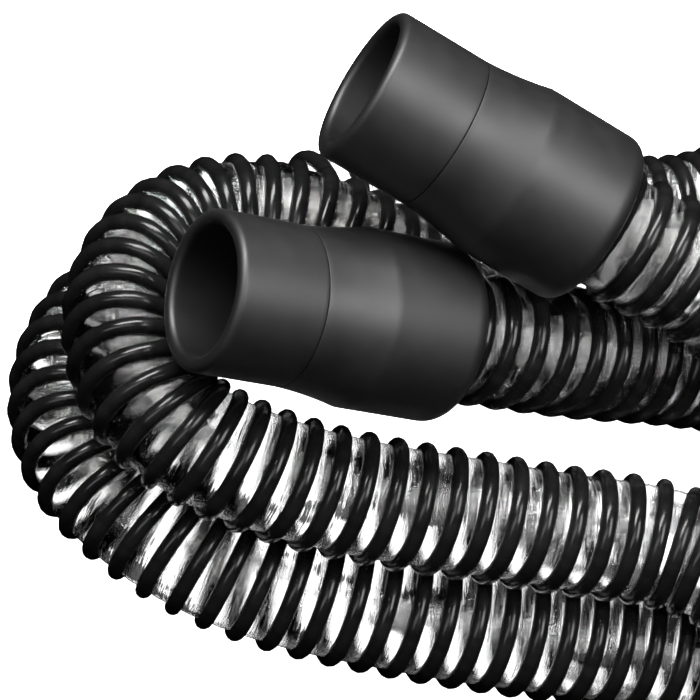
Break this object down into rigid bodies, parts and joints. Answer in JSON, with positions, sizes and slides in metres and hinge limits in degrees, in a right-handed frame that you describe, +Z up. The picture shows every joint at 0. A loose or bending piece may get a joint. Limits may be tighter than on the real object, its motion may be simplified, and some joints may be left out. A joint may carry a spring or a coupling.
{
  "type": "vacuum hose",
  "caption": "Coiled clear hose with a black helical rib outside and a soft swivelling cuff on each end, resting on a surface.",
  "frame": {"origin": "centre of the coil's footprint, on the surface that it lies on", "axes": "+X along the coil's long side, away from the two mouths; +Y from the front runs to the back runs; +Z up"},
  "size_m": [0.3307, 0.213, 0.1534],
  "materials": {
    "film": "clear glossy film",
    "rib": "glossy black",
    "cuff_rubber": "matte charcoal",
    "nylon": "natural nylon",
    "seal_rubber": "matte black",
    "spring_steel": "bright",
    "collar_plastic": "moulded black"
  },
  "bodies": {
    "root": {"hose_tube": "film", "cuff_body_a": "cuff_rubber", "thrust_washer_a": "nylon", "seal_ring_a": "seal_rubber", "retaining_ring_a": "spring_steel", "hose_collar_a": "collar_plastic", "film_end_a": "film", "helix_end_a": "rib", "cuff_body_b": "cuff_rubber", "thrust_washer_b": "nylon", "seal_ring_b": "seal_rubber", "retaining_ring_b": "spring_steel", "hose_collar_b": "collar_plastic", "film_end_b": "film", "helix_end_b": "rib"},
    "mouth_a": {"mouth_sleeve_a": "cuff_rubber"},
    "mouth_b": {"mouth_sleeve_b": "cuff_rubber"}
  },
  "joints": [
    {"name": "mouth_a_swivel", "type": "hinge", "parent": "root", "child": "mouth_a", "pos_m": [-0.127, -0.0161, 0.10985], "axis": [-0.9528, -0.0533, 0.299], "continuous": true},
    {"name": "mouth_b_swivel", "type": "hinge", "parent": "root", "child": "mouth_b", "pos_m": [-0.0908, 0.0449, 0.13055], "axis": [-0.9316, 0.3281, 0.1564], "continuous": true}
  ]
}
